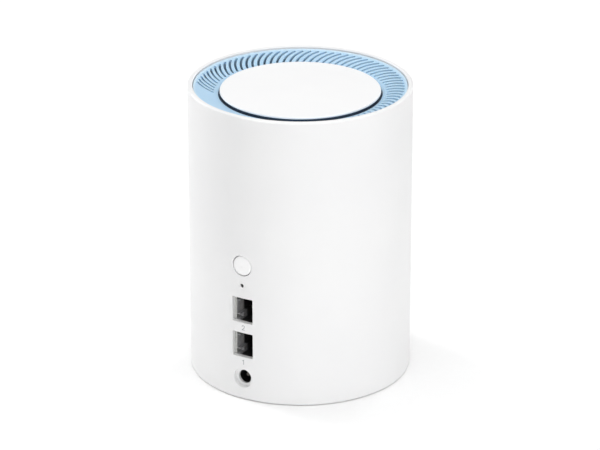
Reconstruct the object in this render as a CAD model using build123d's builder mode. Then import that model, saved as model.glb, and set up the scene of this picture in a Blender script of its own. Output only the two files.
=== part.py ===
from build123d import *
from math import cos, pi, radians, sin, tan
import os

# A round home wifi node that stands on a desk. The origin is on the desk under the middle of the unit,
# +Z is up, the sockets face -Y and every length is in millimetres.

# Outer form
body_diameter = 100.0
shell_height = 134.2
foot_height = 0.3  # the feet hold the shell this far off the desk
shell_wall = 2.2
rim_round = 0.8
rim_chamfer = 0.3
bottom_round = 0.5
fit_gap = 0.15  # between mouldings that slide together
part_gap = 0.3  # between pieces that must not touch
overrun = 1.0  # how far a cut or a web runs past the face it meets

# Vent ring in the top of the shell
ring_gap = 0.3  # shell's bore to the ring
ring_drop = 0.95  # rim down to the ring's outer edge
ring_margin = 0.8  # steeper band round the outside
ring_margin_fall = 0.4
ring_dish_fall = 3.44
ring_width = 11.05
ring_thickness = 1.2
ring_skirt_height = 6.55
ring_skirt_wall = 1.0
ring_lip = 1.2  # wall round the ring's inner edge that stands on the disc carrier
ring_lip_height = 0.81
slot_count = 54
slot_pitch_angle = 360 / 81  # the slots stop over a third of the ring, above the sockets
slot_first_angle = -24.7  # from +X to the first slot
slot_width = 1.1
slot_inner_gap = 2.3  # ring's inner edge to the slots' inner ends
slot_middle_gap = 5.55  # and to the point where their curve is measured
slot_outer_gap = 1.65  # slots' outer ends to the ring's outer edge
slot_inner_lean = 1.46  # degrees from the radial line at the inner, middle and outer radius
slot_middle_lean = -1.16
slot_outer_lean = -6.65
ledge_height = 1.5

# Disc carrier: a black ring under the vent ring's lip, with a wall that the disc lies on
carrier_width = 8.65  # ring's inner edge to the carrier's bore
carrier_thickness = 1.2
carrier_wall = 1.6
carrier_inset = 0.7  # disc's edge to the wall

# Top disc
disc_gap = 0.65  # ring's inner edge to the disc
disc_drop = 2.9  # rim down to the disc's edge
disc_crown = 0.5
disc_edge_thickness = 0.9
disc_edge_round = 0.6
disc_under_round = 0.25
disc_skirt_inset = 4.0
disc_skirt_wall = 1.6
hook_count = 4
hook_width = 7.0
hook_thickness = 1.4
hook_barb = 0.8

# Base
base_recess = 0.7  # shell's bottom edge up to the base cover
base_thickness = 2.5
base_edge_gap = 0.3
foot_diameter = 10.0
foot_thickness = 1.5
foot_edge_margin = 1.7  # base cover's edge to each foot
foot_count = 4
post_diameter = 8.0
post_height = 22.0
base_boss_diameter = 12.0
base_boss_height = 2.5
base_vent_count = 24
base_vent_radius = 18.0
base_vent_length = 18.0
base_vent_width = 2.0

# Screws: thread radius, head radius, head height and length under the head
base_screw = (1.5, 2.6, 1.6, 12.0)
frame_screw = (1.25, 2.2, 1.4, 7.0)
board_screw = (1.25, 2.3, 1.3, 4.5)
screw_hole_gap = 0.25
recess_share = 0.6  # of the head height

# Main board, upright beside the sockets
board_thickness = 1.6
board_offset = 6.0  # middle of the sockets to the board's face
board_bottom = 5.0
board_top_gap = 2.0  # frame's top down to the board's
board_shoulder_rise = 6.8  # above the button; from there down the board reaches forward to the sockets
board_front_gap = 2.2  # flat behind the sockets to the board's front edge
board_side_gap = 2.0  # board's edge to the frame's flanges
board_front_hole = (-18.0, 12.5)  # place across the board, height
board_rear_hole = (6.0, 24.0)  # in from the board's edge, height
board_top_hole = (4.5, 4.0)  # in from each edge, down from the board's top

# Inner frame
frame_wall = 2.0
frame_boss_length = 4.4
frame_boss_diameter = 6.0
frame_side_gap = 9.8  # shell's bore to the outside of each flange
frame_flange_reach = 10.0  # how far the flanges reach past the middle
frame_front_rise = 10.8  # button's middle up to the front flange
frame_foot_length = 14.0
frame_foot_width = 42.0
frame_foot_hole_spacing = 32.0
frame_window_width = 44.0
frame_window_height = 24.0
frame_window_count = 3
frame_window_lowest = 33.5
frame_window_top_gap = 16.0  # frame's top down to the highest window's middle

# Sockets: heights of the middles above the shell's bottom edge
power_height = 10.1
wan_height = 26.3
lan_height = 43.05
reset_height = 55.0
pair_height = 64.4
port_depth = 2.3  # shell's surface to the flat behind it
port_seat_gap = 0.1
land_margin = 8.0
land_half_width = 9.0
network_pocket_width = 10.4
network_pocket_height = 11.9
pocket_round = 0.4
power_pocket_radius = 4.6
power_pocket_depth = 2.0
power_boss_wall = 1.3  # boss round the pocket, behind the flat
power_boss_length = 0.9
pinhole_radius = 0.85
pinhole_skin = 0.6  # wall left round the pinhole
pinhole_relief_radius = 1.9

# Network jack
jack_depth = 18.0
jack_width = 16.0
jack_height = 13.5
jack_sheet = 0.3
plug_width = 11.8
plug_height = 6.7
latch_width = 6.2
latch_height = 1.6
mouth_side_gap = 0.15  # cavity to the shield's mouth
mouth_end_gap = 0.1
plug_depth = 12.5
contact_count = 8
contact_pitch = 1.016
contact_wire = 0.4
contact_groove = 0.6
contact_bend = 1.6  # straight stretch at the mouth
contact_drop = 1.8  # how far the free end stands into the cavity
tongue_length = 3.2
tongue_width = 1.8

# Power jack
power_jack_width = 9.0
power_jack_depth = 14.4
power_jack_height = 11.0
power_bore_radius = 3.2
power_bore_depth = 10.0
power_pin_radius = 1.0
power_pin_recess = 1.2
power_pin_root = 2.0  # held in the housing behind the bore
power_pin_root_radius = 1.4
power_leaf_width = 2.2
power_leaf_thickness = 0.4
power_leaf_recess = 3.0
power_leaf_reach = 0.35

# Push switches and the pairing button
switch_size = 6.2
switch_depth = 3.6
switch_travel = 0.3
plunger_radius = 1.6
plunger_gap = 0.08
plunger_insert = 1.0
switch_corner = 0.4
bracket_sheet = 0.3
bracket_reach = 1.5
pair_plunger_length = 2.2
reset_plunger_length = 1.0
reset_plunger_gap = 2.0  # flat behind the pinhole to the plunger
button_radius = 4.5
button_gap = 0.35  # cap to the hole round it
button_crown = 0.35
button_lip = 1.4  # how far the flange stands out past the cap
button_flange_thickness = 0.8
button_sleeve_wall = 1.3
button_sleeve_length = 1.6
button_post_radius = 1.6
button_post_length = 1.5
button_edge_round = 0.4

# Status light, on the side away from the sockets
light_height = 21.0
light_radius = 1.5
light_bend = 4.0
pipe_gap = 0.4
pipe_collar = 1.0
lamp_size = (1.2, 1.4, 3.0)
lamp_window = 8.0

# Chips on the board: (size off the board, across, up), (place across, distance down from the board's top)
processor = ((1.2, 14.0, 14.0), (11.0, 32.0))
memory = ((1.1, 9.0, 13.0), (25.5, 32.0))
flash = ((1.5, 8.0, 6.0), (24.0, 60.0))
crystal = ((0.8, 3.2, 2.5), (11.0, 44.0))
radio = ((0.9, 10.0, 10.0), (-20.0, 26.0))
radio_shield = ((2.6, 22.0, 26.0), (-20.0, 26.0))

# Other parts on the board: the same, but the place is a height
transformer_size = (5.6, 9.0, 15.0)
inductor = ((4.0, 7.0, 7.0), (26.0, 12.0))
inductor_pitch = 9.0
transformer_gap = 2.0
can_sheet = 0.2
capacitor_radius = 3.15
capacitor_length = 7.0
capacitor_start = (-8.0, 10.5)
capacitor_pitch = 8.0
capacitor_count = 3

# Heat sink
pad_thickness = 1.0
sink_width = 38.0
sink_height = 40.0
sink_base = 2.5
fin_height = 8.0
fin_count = 9
fin_thickness = 1.2
sink_pin_radius = 1.4
sink_pin_head_radius = 2.6
sink_pin_head = 1.5
sink_pin_barb = 0.5
sink_pin_inset = 3.2

# Antennas and their leads
antenna_thickness = 0.8
antenna_width = 7.0
antenna_top_gap = 2.0
long_antenna_place = -9.0  # on the flange, as far down as the front flange goes
short_antenna_place = 4.5
short_antenna_length = 26.0
long_socket_gap = 6.5  # in from the board's top screws to the long antennas' connectors
short_socket_gap = 16.5
lead_radius = 0.565
lead_gap = 0.05
lead_start_drop = 10.0  # frame's top down to the leads' outer ends
lead_rise = 5.5  # frame's top up to the leads' middle lines
lead_top_gap = 2.5  # leads' middle lines up to the disc's hooks
lead_end_rise = 4.0  # connectors' middles up to the leads' inner ends
lead_standoff = 1.5
lead_arc_share = 0.45  # of the shorter run beside a corner
socket_drop = 10.5  # board's top down to the antenna connectors
socket_base = (0.6, 3.0, 3.0)
socket_post_radius = 1.0
socket_post_height = 0.6
plug_radius = 1.3
plug_length = 1.5
crimp_width = 1.4

# Worked out from the sizes above
shell_radius = body_diameter / 2
bore_radius = shell_radius - shell_wall
rim_z = foot_height + shell_height
land_y = -(shell_radius - port_depth)  # the flat inside the shell that the sockets face
jack_y = land_y + port_seat_gap
power_land_y = land_y + power_boss_length
power_jack_y = power_land_y + port_seat_gap
power_z = foot_height + power_height
wan_z = foot_height + wan_height
lan_z = foot_height + lan_height
reset_z = foot_height + reset_height
pair_z = foot_height + pair_height
light_z = foot_height + light_height
ring_outer_radius = bore_radius - ring_gap
ring_inner_radius = ring_outer_radius - ring_width
ring_top_z = rim_z - ring_drop
crease_radius = ring_outer_radius - ring_margin
crease_z = ring_top_z - ring_margin_fall
dish_inner_z = crease_z - ring_dish_fall
carrier_z = dish_inner_z - ring_lip_height
carrier_under_z = carrier_z - carrier_thickness
hook_bottom = carrier_under_z - hook_barb - hook_thickness
lead_top_z = hook_bottom - lead_top_gap
frame_top = lead_top_z - lead_rise
frame_front_bottom = pair_z + frame_front_rise
flange_outer = bore_radius - frame_side_gap
flange_inner = flange_outer - frame_wall
board_face = -board_offset
board_back = board_face - board_thickness
board_top = frame_top - board_top_gap
board_shoulder = pair_z + board_shoulder_rise
board_front_y = land_y + board_front_gap
board_half_width = flange_inner - board_side_gap
frame_face = board_back - frame_boss_length
frame_back = frame_face - frame_wall
base_radius = bore_radius - base_edge_gap
base_under = foot_height + base_recess
base_top = base_under + base_thickness
boss_top = base_top + base_boss_height
foot_circle_radius = base_radius - foot_edge_margin - foot_diameter / 2
first_post_angle = 180 / foot_count
button_hole_radius = button_radius + button_gap
board_holes = [
    board_front_hole,
    (board_half_width - board_rear_hole[0], board_rear_hole[1]),
    (board_half_width - board_top_hole[0], board_top - board_top_hole[1]),
    (board_top_hole[0] - board_half_width, board_top - board_top_hole[1]),
]

os.makedirs("parts", exist_ok=True)


def outline(points, plane):
    """A closed flat outline through the points."""
    with BuildSketch(plane) as shape:
        with BuildLine():
            Polyline(*points, close=True)
        make_face()
    return shape.sketch


def block(x_range, y_range, z_range, mode=Mode.ADD):
    """Add a plain block between two corners to the part being built, or cut it out."""
    middle = tuple((low + high) / 2 for low, high in (x_range, y_range, z_range))
    with Locations(middle):
        Box(*[high - low for low, high in (x_range, y_range, z_range)], mode=mode)


def on_board(size, place):
    """Add a block that stands on the board's face, from its size off, across and up the board."""
    off, across, up = size
    y, z = place
    block((board_face, board_face + off), (y - across / 2, y + across / 2), (z - up / 2, z + up / 2))


# Outer shell: one moulded tube with a ledge for the vent ring, a flat behind the sockets, a boss for the
# power socket, a guide for the button and four screw posts.
ring_bottom_z = rim_z - ring_drop - ring_skirt_height
ledge_inner_radius = ring_outer_radius - ring_skirt_wall
land_bottom = base_top + part_gap
land_top = pair_z + land_margin
post_bottom = boss_top
post_middle = (foot_circle_radius + bore_radius) / 2
post_web_length = bore_radius - foot_circle_radius + overrun

with BuildPart() as outer_shell:
    revolve(
        outline(
            [
                (bore_radius, foot_height),
                (shell_radius, foot_height),
                (shell_radius, rim_z),
                (bore_radius, rim_z),
                (bore_radius, ring_bottom_z),
                (ledge_inner_radius, ring_bottom_z),
                (ledge_inner_radius, ring_bottom_z - ledge_height),
                (bore_radius, ring_bottom_z - 2 * ledge_height),
            ],
            Plane.XZ,
        ),
        axis=Axis.Z,
    )
    rings = outer_shell.edges().filter_by(GeomType.CIRCLE)
    outer_rings = rings.filter_by(lambda edge: edge.radius > bore_radius + shell_wall / 2)
    fillet(outer_rings.sort_by(Axis.Z)[-1], rim_round)
    fillet(outer_rings.sort_by(Axis.Z)[0], bottom_round)
    inner_rings = outer_shell.edges().filter_by(GeomType.CIRCLE).filter_by(
        lambda edge: abs(edge.radius - bore_radius) < fit_gap
    )
    chamfer(inner_rings.sort_by(Axis.Z)[-1], rim_chamfer)
    with BuildSketch(Plane.XY.offset(land_bottom)):
        Circle(bore_radius + shell_wall / 2)
        with Locations((0, shell_radius + land_y)):
            Rectangle(body_diameter, body_diameter, mode=Mode.SUBTRACT)
    extrude(amount=land_top - land_bottom)
    block(
        (-land_half_width, land_half_width),
        (land_y, land_y + port_depth),
        (land_bottom, land_top),
        Mode.SUBTRACT,
    )
    with BuildSketch(Plane.XY.offset(post_bottom)):
        with PolarLocations(foot_circle_radius, foot_count, first_post_angle):
            Circle(post_diameter / 2)
        with PolarLocations(post_middle, foot_count, first_post_angle):
            Rectangle(post_web_length, post_diameter / 2)
    extrude(amount=post_height)
    with BuildSketch(Plane.XY.offset(post_bottom)):
        with PolarLocations(foot_circle_radius, foot_count, first_post_angle):
            Circle(base_screw[0])
    extrude(amount=base_screw[3], mode=Mode.SUBTRACT)
    with BuildSketch(Plane.XZ.offset(-land_y - button_sleeve_length)):
        with Locations((0, pair_z)):
            Circle(button_hole_radius + button_sleeve_wall)
    extrude(amount=button_sleeve_length + shell_wall / 2)
    with BuildSketch(Plane.XZ.offset(-power_land_y)):
        with Locations((0, power_z)):
            Circle(power_pocket_radius + power_boss_wall)
    extrude(amount=power_boss_length + shell_wall / 2)
    with BuildSketch(Plane.XZ.offset(-land_y - button_sleeve_length)):
        with Locations((0, pair_z)):
            Circle(button_hole_radius)
        with Locations((0, reset_z)):
            Circle(pinhole_radius)
        with Locations((0, power_z)):
            Circle(power_bore_radius)
        with Locations((0, lan_z), (0, wan_z)):
            RectangleRounded(network_pocket_width, network_pocket_height, pocket_round)
    extrude(amount=button_sleeve_length + port_depth + overrun, mode=Mode.SUBTRACT)
    with BuildSketch(Plane.XZ.offset(shell_radius - power_pocket_depth)):
        with Locations((0, power_z)):
            Circle(power_pocket_radius)
    extrude(amount=power_pocket_depth + overrun, mode=Mode.SUBTRACT)
    with BuildSketch(Plane.XZ.offset(shell_radius - pinhole_skin)):
        with Locations((0, reset_z)):
            Circle(pinhole_relief_radius)
    extrude(amount=-port_depth, mode=Mode.SUBTRACT)
    with BuildSketch(Plane.XZ.offset(shell_wall - bore_radius)):
        with Locations((0, light_z)):
            Circle(light_radius + fit_gap)
    extrude(amount=-3 * shell_wall, mode=Mode.SUBTRACT)
outer_shell.part.label = "outer_shell"
export_step(outer_shell.part, "parts/outer_shell.step")

# Vent ring: a blue dish with swirling slots and a skirt that drops into the shell.
dish_slope = ring_dish_fall / (crease_radius - ring_inner_radius)
skirt_inner = ring_outer_radius - ring_skirt_wall
lip_radius = ring_inner_radius + ring_lip


def dish_under(radius):
    """Height of the dish's underside at a radius."""
    return dish_inner_z + (radius - ring_inner_radius) * dish_slope - ring_thickness


def slot_point(radius, lean):
    """A point on a slot's middle line."""
    return radius * cos(radians(lean)), radius * sin(radians(lean))


slot_line = ThreePointArc(
    slot_point(ring_inner_radius + slot_inner_gap, slot_inner_lean),
    slot_point(ring_inner_radius + slot_middle_gap, slot_middle_lean),
    slot_point(ring_outer_radius - slot_outer_gap, slot_outer_lean),
)

with BuildPart() as vent_ring:
    revolve(
        outline(
            [
                (ring_outer_radius, ring_bottom_z),
                (ring_outer_radius, ring_top_z),
                (crease_radius, crease_z),
                (ring_inner_radius, dish_inner_z),
                (ring_inner_radius, carrier_z),
                (lip_radius, carrier_z),
                (lip_radius, dish_under(lip_radius)),
                (skirt_inner, dish_under(skirt_inner)),
                (skirt_inner, ring_bottom_z),
            ],
            Plane.XZ,
        ),
        axis=Axis.Z,
    )
    with BuildSketch(Plane.XY.offset(ring_top_z)):
        for number in range(slot_count):
            with Locations(Rotation(0, 0, slot_first_angle + number * slot_pitch_angle)):
                SlotArc(slot_line, slot_width)
    extrude(amount=carrier_z - ring_top_z, mode=Mode.SUBTRACT)
vent_ring.part.label = "vent_ring"
export_step(vent_ring.part, "parts/vent_ring.step")

# Disc carrier: a black ring welded under the vent ring's lip, with a wall under the disc's edge and an
# opening for each of the disc's hooks.
carrier_bore_radius = ring_inner_radius - carrier_width
disc_radius = ring_inner_radius - disc_gap
disc_skirt_radius = disc_radius - disc_skirt_inset
hook_radius = disc_skirt_radius - hook_thickness / 2
disc_edge_z = rim_z - disc_drop
disc_under_z = disc_edge_z - disc_edge_thickness

with BuildPart() as disc_carrier:
    with BuildSketch(Plane.XY.offset(carrier_under_z)):
        Circle(lip_radius)
        Circle(carrier_bore_radius, mode=Mode.SUBTRACT)
        with PolarLocations(hook_radius, hook_count):
            Rectangle(hook_thickness + 2 * hook_barb, hook_width + 2 * fit_gap, mode=Mode.SUBTRACT)
    extrude(amount=carrier_thickness)
    with BuildSketch(Plane.XY.offset(carrier_z)):
        Circle(disc_radius - carrier_inset)
        Circle(disc_radius - carrier_inset - carrier_wall, mode=Mode.SUBTRACT)
    extrude(amount=disc_under_z - carrier_z)
disc_carrier.part.label = "disc_carrier"
export_step(disc_carrier.part, "parts/disc_carrier.step")

# Top disc: a white crowned cap with a rounded edge that lies on the carrier over a shadow gap, with a
# skirt whose hooks snap through the carrier.
disc_flat_radius = disc_radius - disc_edge_round
skirt_inside = disc_skirt_radius - disc_skirt_wall
hook_out = hook_radius + hook_thickness / 2

with BuildPart() as top_disc:
    with BuildSketch(Plane.XZ) as disc_section:
        with BuildLine():
            ThreePointArc(
                (-disc_flat_radius, disc_edge_z),
                (0, disc_edge_z + disc_crown),
                (disc_flat_radius, disc_edge_z),
            )
            RadiusArc(
                (disc_flat_radius, disc_edge_z),
                (disc_radius, disc_edge_z - disc_edge_round),
                disc_edge_round,
            )
            Polyline(
                (disc_radius, disc_edge_z - disc_edge_round),
                (disc_radius, disc_under_z),
                (disc_skirt_radius, disc_under_z),
                (disc_skirt_radius, carrier_z),
                (skirt_inside, carrier_z),
                (skirt_inside, disc_under_z),
                (-disc_flat_radius, disc_under_z),
                (-disc_flat_radius, disc_edge_z),
            )
        make_face()
        with Locations((-body_diameter / 2, rim_z)):
            Rectangle(body_diameter, body_diameter, mode=Mode.SUBTRACT)
    revolve(axis=Axis.Z)
    under_rings = top_disc.edges().filter_by(GeomType.CIRCLE).filter_by(
        lambda edge: abs(edge.radius - disc_radius) < disc_under_round
    )
    fillet(under_rings.sort_by(Axis.Z)[0], disc_under_round)
    hook = outline(
        [
            (hook_out - hook_thickness, carrier_z + fit_gap),
            (hook_out, carrier_z + fit_gap),
            (hook_out, carrier_under_z),
            (hook_out + hook_barb - fit_gap, carrier_under_z),
            (hook_out, hook_bottom),
            (hook_out - hook_thickness, hook_bottom),
        ],
        Plane.XZ,
    )
    with PolarLocations(0, hook_count):
        extrude(hook, amount=hook_width / 2, both=True)
top_disc.part.label = "top_disc"
export_step(top_disc.part, "parts/top_disc.step")

# Base cover: the plate that closes the bottom, with a ring of air inlets, a recess for each foot and a
# boss behind each one for the screw that it hides.
foot_recess_top = foot_thickness
head_recess_top = foot_recess_top + base_screw[2] + fit_gap
frame_hole_x = frame_back - frame_foot_length / 2
frame_holes = [(frame_hole_x, side * frame_foot_hole_spacing / 2) for side in (-1, 1)]
frame_head_top = base_under + frame_screw[2] + fit_gap

with BuildPart() as base_cover:
    with BuildSketch(Plane.XY.offset(base_under)):
        Circle(base_radius)
        with PolarLocations(base_vent_radius, base_vent_count):
            SlotOverall(base_vent_length, base_vent_width, mode=Mode.SUBTRACT)
        with Locations(*frame_holes):
            Circle(2 * frame_screw[1])
    extrude(amount=base_thickness)
    with BuildSketch(Plane.XY.offset(base_top)):
        with PolarLocations(foot_circle_radius, foot_count, first_post_angle):
            Circle(base_boss_diameter / 2)
        Circle(base_radius, mode=Mode.INTERSECT)
    extrude(amount=base_boss_height)
    with BuildSketch(Plane.XY.offset(base_under)):
        with PolarLocations(foot_circle_radius, foot_count, first_post_angle):
            Circle(foot_diameter / 2 + fit_gap)
    extrude(amount=foot_recess_top - base_under, mode=Mode.SUBTRACT)
    with BuildSketch(Plane.XY.offset(foot_recess_top)):
        with PolarLocations(foot_circle_radius, foot_count, first_post_angle):
            Circle(base_screw[1] + fit_gap)
    extrude(amount=head_recess_top - foot_recess_top, mode=Mode.SUBTRACT)
    with BuildSketch(Plane.XY.offset(foot_recess_top)):
        with PolarLocations(foot_circle_radius, foot_count, first_post_angle):
            Circle(base_screw[0] + screw_hole_gap)
    extrude(amount=boss_top - foot_recess_top, mode=Mode.SUBTRACT)
    with BuildSketch(Plane.XY.offset(base_under)):
        with Locations(*frame_holes):
            Circle(frame_screw[1] + fit_gap)
    extrude(amount=frame_head_top - base_under, mode=Mode.SUBTRACT)
    with BuildSketch(Plane.XY.offset(base_under)):
        with Locations(*frame_holes):
            Circle(frame_screw[0] + screw_hole_gap)
    extrude(amount=base_thickness, mode=Mode.SUBTRACT)
base_cover.part.label = "base_cover"
export_step(base_cover.part, "parts/base_cover.step")

# Rubber feet: four round pads pressed into the base cover's recesses.
with BuildPart() as rubber_feet:
    with BuildSketch():
        with PolarLocations(foot_circle_radius, foot_count, first_post_angle):
            Circle(foot_diameter / 2)
    extrude(amount=foot_thickness)
    chamfer(rubber_feet.faces().group_by(Axis.Z)[0].edges(), foot_height / 2)
rubber_feet.part.label = "rubber_feet"
export_step(rubber_feet.part, "parts/rubber_feet.step")


def screw(size):
    """A pan-head screw with a cross recess: the head's top face at the origin and the shank along +Z."""
    thread_radius, head_radius, head_height, length = size
    with BuildPart() as made:
        Cylinder(head_radius, head_height, align=(Align.CENTER, Align.CENTER, Align.MIN))
        fillet(made.edges().group_by(Axis.Z)[0], head_height / 4)
        with Locations((0, 0, head_height)):
            Cylinder(thread_radius, length, align=(Align.CENTER, Align.CENTER, Align.MIN))
        for across, along in ((head_radius, head_radius / 4), (head_radius / 4, head_radius)):
            Box(across, along, 2 * head_height * recess_share, mode=Mode.SUBTRACT)
    return made.part


# Screws: four hold the shell to the base cover, two hold the inner frame and four hold the board.
base_screw_z = head_recess_top - base_screw[2]
frame_screw_z = frame_head_top - frame_screw[2]

with BuildPart() as base_screws:
    with Locations((0, 0, base_screw_z)):
        with PolarLocations(foot_circle_radius, foot_count, first_post_angle):
            add(screw(base_screw))
base_screws.part.label = "base_screws"
export_step(base_screws.part, "parts/base_screws.step")

with BuildPart() as frame_screws:
    with Locations(*[(x, y, frame_screw_z) for x, y in frame_holes]):
        add(screw(frame_screw))
frame_screws.part.label = "frame_screws"
export_step(frame_screws.part, "parts/frame_screws.step")

with BuildPart() as board_screws:
    with Locations(*[Location((board_face + board_screw[2], y, z), (0, -90, 0)) for y, z in board_holes]):
        add(screw(board_screw))
board_screws.part.label = "board_screws"
export_step(board_screws.part, "parts/board_screws.step")

# Inner frame: an upright channel moulded in one, with bosses for the board, flanges for the antennas,
# air windows and a foot that is screwed to the base cover.
frame_window_pitch = (frame_top - frame_window_top_gap - frame_window_lowest) / (frame_window_count - 1)
frame_windows = [
    (0, frame_window_lowest + step * frame_window_pitch) for step in range(frame_window_count)
]

with BuildPart() as inner_frame:
    block((frame_back, frame_face), (-flange_outer, flange_outer), (base_top, frame_top))
    block((frame_back, frame_flange_reach), (flange_inner, flange_outer), (base_top, frame_top))
    block(
        (frame_back, frame_flange_reach),
        (-flange_outer, -flange_inner),
        (frame_front_bottom, frame_top),
    )
    block(
        (frame_back - frame_foot_length, frame_back),
        (-frame_foot_width / 2, frame_foot_width / 2),
        (base_top, base_top + frame_wall),
    )
    with Locations(*[(x, y, base_top) for x, y in frame_holes]):
        Cylinder(2 * frame_screw[1], frame_screw[3], align=(Align.CENTER, Align.CENTER, Align.MIN))
    with BuildSketch(Plane.YZ.offset(frame_face)):
        with Locations(*board_holes):
            Circle(frame_boss_diameter / 2)
    extrude(amount=frame_boss_length)
    with BuildSketch(Plane.YZ.offset(frame_back)):
        with Locations(*frame_windows):
            RectangleRounded(frame_window_width, frame_window_height, 2 * frame_wall)
    extrude(amount=frame_wall, mode=Mode.SUBTRACT)
    with BuildSketch(Plane.YZ.offset(board_back)):
        with Locations(*board_holes):
            Circle(board_screw[0])
    extrude(amount=-frame_boss_length, mode=Mode.SUBTRACT)
    with BuildSketch(Plane.XY.offset(base_top)):
        with Locations(*frame_holes):
            Circle(frame_screw[0])
    extrude(amount=frame_screw[3], mode=Mode.SUBTRACT)
    with BuildSketch(Plane.XZ.offset(-flange_inner)):
        with Locations((board_face, light_z)):
            RectangleRounded(lamp_window, lamp_window, frame_wall / 2)
    extrude(amount=-frame_wall, mode=Mode.SUBTRACT)
inner_frame.part.label = "inner_frame"
export_step(inner_frame.part, "parts/inner_frame.step")

# Main board: an upright printed board that reaches forward at the bottom, where the sockets stand.
sink_y, sink_z = processor[1][0], board_top - processor[1][1]
sink_pins = [
    (sink_y - side * (sink_width / 2 - sink_pin_inset), sink_z + side * (sink_height / 2 - sink_pin_inset))
    for side in (-1, 1)
]

with BuildPart() as main_board:
    with BuildSketch(Plane.YZ.offset(board_back)):
        with BuildLine():
            Polyline(
                (board_front_y, board_bottom),
                (board_half_width, board_bottom),
                (board_half_width, board_top),
                (-board_half_width, board_top),
                (-board_half_width, board_shoulder),
                (board_front_y, board_shoulder),
                close=True,
            )
        make_face()
        with Locations(*board_holes):
            Circle(board_screw[0] + screw_hole_gap, mode=Mode.SUBTRACT)
        with Locations(*sink_pins):
            Circle(sink_pin_radius + screw_hole_gap, mode=Mode.SUBTRACT)
    extrude(amount=board_thickness)
main_board.part.label = "main_board"
export_step(main_board.part, "parts/main_board.step")

# Network jacks: a folded steel shield over a black insert with eight spring contacts. The latch side is
# next to the board.
jack_back_y = jack_y + jack_depth
jack_top = board_face + jack_height
insert_front = jack_y + jack_sheet
cavity_back = jack_y + plug_depth
latch_wall = -(plug_height + latch_height) / 2  # the latch channel's wall, next to the board
shoulder_wall = latch_wall + latch_height
contact_wall = shoulder_wall + plug_height
groove_floor = contact_wall + contact_wire
free_end = contact_wall - contact_drop
mouth_width = plug_height + latch_height + 2 * mouth_side_gap
mouth_height = plug_width + 2 * mouth_end_gap
bend_y = insert_front + contact_bend
free_y = cavity_back - contact_wire
tongue_place = (plug_width + latch_width) / 4  # on the two shoulders beside the latch channel


def contact_places(z):
    """Heights of the eight contacts about the jack's middle."""
    first = z - (contact_count - 1) * contact_pitch / 2
    return [first + number * contact_pitch for number in range(contact_count)]


def jack_shield(z):
    """The folded shield, open next to the board, with a square mouth and two earthing tongues."""
    half_width = jack_width / 2
    inside = half_width - jack_sheet
    mouth = mouth_height / 2
    with BuildPart() as shield:
        block((board_face, jack_top), (jack_y, jack_back_y), (z - half_width, z + half_width))
        block(
            (board_face, jack_top - jack_sheet),
            (insert_front, jack_back_y - jack_sheet),
            (z - inside, z + inside),
            Mode.SUBTRACT,
        )
        block(
            (-mouth_width / 2, mouth_width / 2),
            (jack_y, insert_front),
            (z - mouth, z + mouth),
            Mode.SUBTRACT,
        )
        for middle in (z - tongue_place, z + tongue_place):
            block(
                (-mouth_width / 2 - jack_sheet, -mouth_width / 2),
                (jack_y, jack_y + tongue_length),
                (middle - tongue_width / 2, middle + tongue_width / 2),
            )
    return shield


def jack_insert(z):
    """The black moulding in the shield, with the plug's cavity, latch channel and contact grooves."""
    inside = jack_width / 2 - jack_sheet
    relief = tongue_width / 2 + fit_gap
    groove = contact_groove / 2
    with BuildPart() as insert:
        block(
            (board_face, jack_top - jack_sheet),
            (insert_front, jack_back_y - jack_sheet),
            (z - inside, z + inside),
        )
        for walls, height in (((shoulder_wall, contact_wall), plug_width), ((latch_wall, 0), latch_width)):
            block(walls, (insert_front, cavity_back), (z - height / 2, z + height / 2), Mode.SUBTRACT)
        for middle in (z - tongue_place, z + tongue_place):
            block(
                (-mouth_width / 2 - jack_sheet, shoulder_wall),
                (insert_front, jack_y + tongue_length + fit_gap),
                (middle - relief, middle + relief),
                Mode.SUBTRACT,
            )
        for middle in contact_places(z):
            block(
                (contact_wall, groove_floor),
                (insert_front, cavity_back),
                (middle - groove, middle + groove),
                Mode.SUBTRACT,
            )
    return insert


def jack_contacts(z):
    """Eight gilt wires, each lying in its groove at the mouth and sloping into the cavity behind it."""
    with BuildPart() as contacts:
        for middle in contact_places(z):
            with BuildSketch(Plane.XY.offset(middle - contact_wire / 2)):
                with BuildLine():
                    Polyline(
                        (groove_floor, insert_front + contact_wire),
                        (groove_floor, bend_y),
                        (free_end, free_y),
                        (free_end - contact_wire, free_y),
                        (contact_wall, bend_y - contact_wire),
                        (contact_wall, insert_front + contact_wire),
                        close=True,
                    )
                make_face()
            extrude(amount=contact_wire)
    return contacts


for port, port_z in (("lan", lan_z), ("wan", wan_z)):
    for piece, made in (
        ("shield", jack_shield(port_z)),
        ("insert", jack_insert(port_z)),
        ("contacts", jack_contacts(port_z)),
    ):
        made.part.label = f"{port}_jack_{piece}"
        export_step(made.part, f"parts/{port}_jack_{piece}.step")

# Power jack: a black housing with a round mouth, a centre pin and a leaf contact beside it.
bore_back_y = power_jack_y + power_bore_depth
pin_tip_y = power_jack_y + power_pin_recess
leaf_front_y = power_jack_y + power_leaf_recess
leaf_x = (power_bore_radius - power_leaf_reach, power_bore_radius - power_leaf_reach + power_leaf_thickness)
leaf_z = (power_z - power_leaf_width / 2, power_z + power_leaf_width / 2)

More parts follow.
